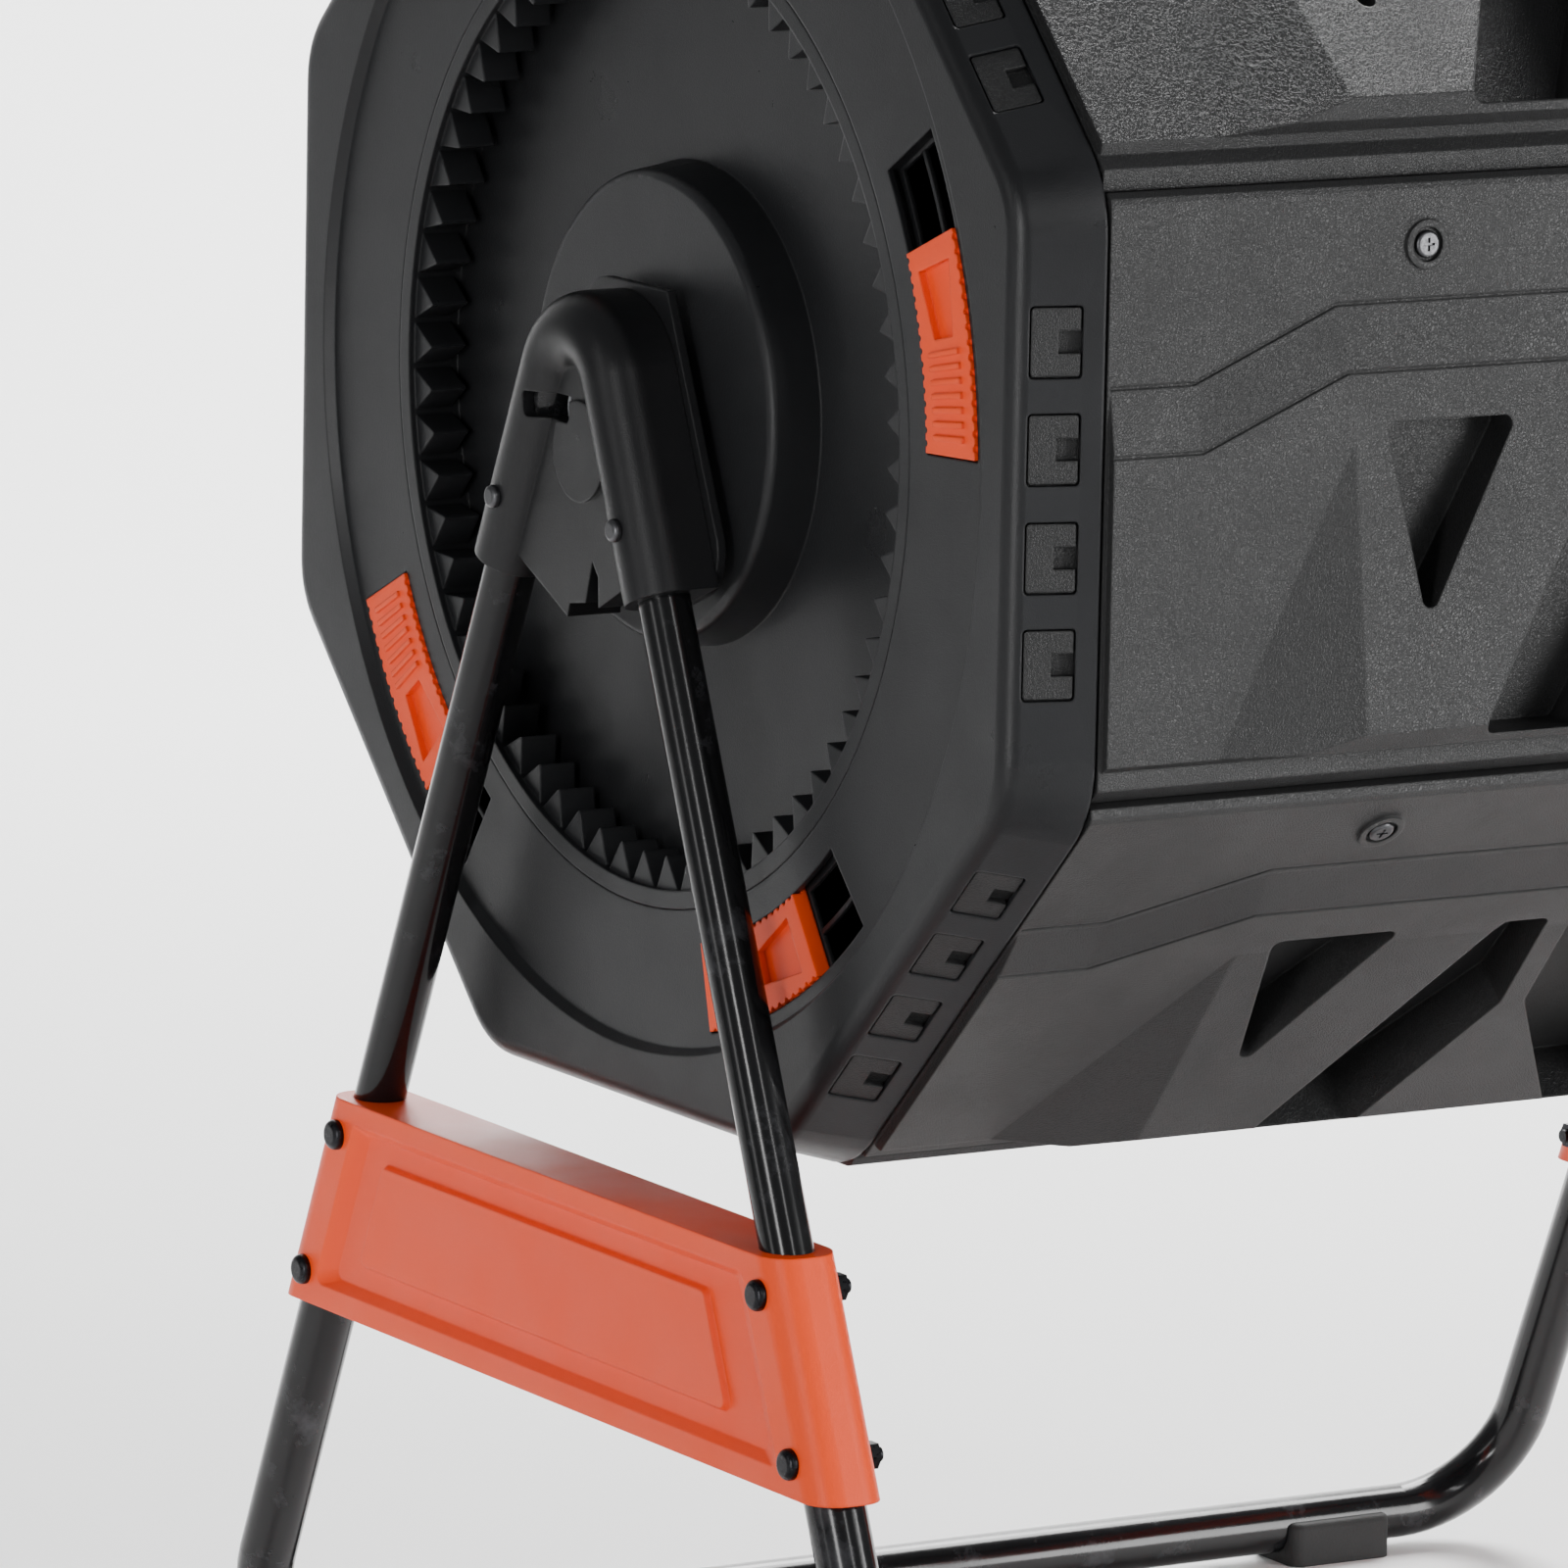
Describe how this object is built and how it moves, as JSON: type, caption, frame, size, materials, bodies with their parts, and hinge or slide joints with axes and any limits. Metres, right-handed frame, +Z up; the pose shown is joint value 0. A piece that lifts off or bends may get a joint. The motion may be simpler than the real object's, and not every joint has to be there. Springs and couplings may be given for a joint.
{
  "type": "compost tumbler",
  "caption": "Dual-chamber octagonal compost drum turning on a tubular A-frame stand, with sliding air vents and sliding loading doors.",
  "frame": {"origin": "on the ground below the middle of the drum", "axes": "+Z up, +X along the drum's axis towards end B, -Y the near side"},
  "size_m": [0.704, 0.632, 0.931],
  "materials": {
    "charcoal": "satin moulded polypropylene",
    "panel_grain": "leather-grained moulded polypropylene",
    "black_plastic": "satin",
    "orange": "satin moulded polypropylene",
    "black_paint": "gloss powder coat",
    "rubber": "matt",
    "bushing": "natural nylon",
    "zinc": "zinc plated",
    "black_bolt": "black oxide",
    "screw_steel": "plated"
  },
  "bodies": {
    "stand": {"axle": "zinc", "bracket_flange_a": "black_plastic", "bracket_flange_b": "black_plastic", "bracket_screws": "screw_steel", "cross_plate_a": "orange", "cross_plate_b": "orange", "foot_a_far": "rubber", "foot_a_near": "rubber", "foot_b_far": "rubber", "foot_b_near": "rubber", "head_bracket_a": "black_plastic", "head_bracket_b": "black_plastic", "lower_frame_far": "black_paint", "lower_frame_near": "black_paint", "plate_bolts": "black_bolt", "plate_nuts": "black_bolt", "upper_leg_a_far": "black_paint", "upper_leg_a_near": "black_paint", "upper_leg_b_far": "black_paint", "upper_leg_b_near": "black_paint"},
    "drum": {"bushing_a": "bushing", "bushing_b": "bushing", "divider": "panel_grain", "door_panel": "panel_grain", "door_rail_back": "charcoal", "door_rail_front": "charcoal", "end_cap_a": "charcoal", "end_cap_b": "charcoal", "hub_ring_a": "charcoal", "hub_ring_b": "charcoal", "mixing_bar_far": "zinc", "mixing_bar_near": "zinc", "panel_screws": "screw_steel", "side_panel_1": "panel_grain", "side_panel_2": "panel_grain", "side_panel_3": "panel_grain", "side_panel_4": "panel_grain", "side_panel_5": "panel_grain", "side_panel_6": "panel_grain", "side_panel_7": "panel_grain"},
    "vent_slider_a1": {"vent_slider_a1": "orange"},
    "vent_slider_a2": {"vent_slider_a2": "orange"},
    "vent_slider_a3": {"vent_slider_a3": "orange"},
    "vent_slider_a4": {"vent_slider_a4": "orange"},
    "vent_slider_b1": {"vent_slider_b1": "orange"},
    "vent_slider_b2": {"vent_slider_b2": "orange"},
    "vent_slider_b3": {"vent_slider_b3": "orange"},
    "vent_slider_b4": {"vent_slider_b4": "orange"},
    "door_a": {"door_a": "orange"},
    "door_b": {"door_b": "orange"}
  },
  "joints": [
    {"name": "drum_spin", "type": "hinge", "parent": "stand", "child": "drum", "pos_m": [0, 0, 0.605], "axis": [1, 0, 0], "continuous": true},
    {"name": "vent_slider_a1_turn", "type": "hinge", "parent": "drum", "child": "vent_slider_a1", "pos_m": [0, 0, 0.605], "axis": [-1, 0, 0], "range_deg": [0, 8.8]},
    {"name": "vent_slider_a2_turn", "type": "hinge", "parent": "drum", "child": "vent_slider_a2", "pos_m": [0, 0, 0.605], "axis": [-1, 0, 0], "range_deg": [0, 8.8]},
    {"name": "vent_slider_a3_turn", "type": "hinge", "parent": "drum", "child": "vent_slider_a3", "pos_m": [0, 0, 0.605], "axis": [-1, 0, 0], "range_deg": [0, 8.8]},
    {"name": "vent_slider_a4_turn", "type": "hinge", "parent": "drum", "child": "vent_slider_a4", "pos_m": [0, 0, 0.605], "axis": [-1, 0, 0], "range_deg": [0, 8.8]},
    {"name": "vent_slider_b1_turn", "type": "hinge", "parent": "drum", "child": "vent_slider_b1", "pos_m": [0, 0, 0.605], "axis": [1, 0, 0], "range_deg": [0, 8.8]},
    {"name": "vent_slider_b2_turn", "type": "hinge", "parent": "drum", "child": "vent_slider_b2", "pos_m": [0, 0, 0.605], "axis": [1, 0, 0], "range_deg": [0, 8.8]},
    {"name": "vent_slider_b3_turn", "type": "hinge", "parent": "drum", "child": "vent_slider_b3", "pos_m": [0, 0, 0.605], "axis": [1, 0, 0], "range_deg": [0, 8.8]},
    {"name": "vent_slider_b4_turn", "type": "hinge", "parent": "drum", "child": "vent_slider_b4", "pos_m": [0, 0, 0.605], "axis": [1, 0, 0], "range_deg": [0, 8.8]},
    {"name": "door_a_slide", "type": "slide", "parent": "drum", "child": "door_a", "axis": [1, 0, 0], "range_m": [0, 0.15]},
    {"name": "door_b_slide", "type": "slide", "parent": "drum", "child": "door_b", "axis": [-1, 0, 0], "range_m": [0, 0.15]}
  ]
}
